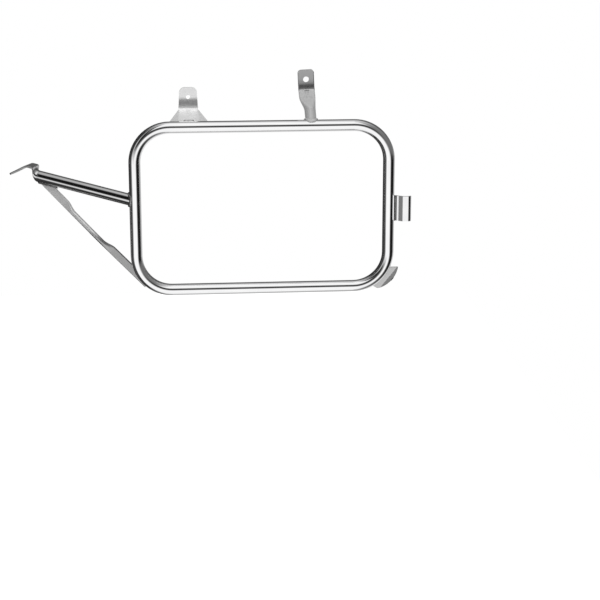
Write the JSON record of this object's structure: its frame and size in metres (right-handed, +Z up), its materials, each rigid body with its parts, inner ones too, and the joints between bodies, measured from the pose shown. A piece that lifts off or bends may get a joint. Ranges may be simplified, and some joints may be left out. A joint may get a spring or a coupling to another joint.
{
  "type": "pannier frame",
  "caption": "Chromed left-hand pannier frame for a motorbike: a bent tube loop with crushed-end stays, a folded bracket, a diagonal brace, a rear clip and a corner gusset.",
  "frame": {"origin": "middle of the rear strut's bolt hole, half way through its tab", "axes": "+X to the rear of the bike, +Y inwards to the bike, +Z up"},
  "size_m": [0.6163, 0.0964, 0.3413],
  "materials": {
    "chrome_tube": "bright plated",
    "chrome_bar": "plated, slightly dull",
    "chrome_sheet": "plated, slightly dull",
    "chrome_weld": "plated over the bead"
  },
  "bodies": {
    "root": {"loop_tube": "chrome_tube", "rear_strut": "chrome_tube", "front_arm": "chrome_tube", "diagonal_brace": "chrome_bar", "front_bracket": "chrome_sheet", "rear_clip": "chrome_sheet", "corner_gusset": "chrome_sheet", "rear_strut_weld": "chrome_weld", "front_arm_weld": "chrome_weld", "front_bracket_weld": "chrome_weld", "rear_clip_weld": "chrome_weld", "corner_gusset_weld": "chrome_weld", "brace_lower_weld": "chrome_weld", "brace_upper_weld": "chrome_weld"}
  },
  "joints": []
}
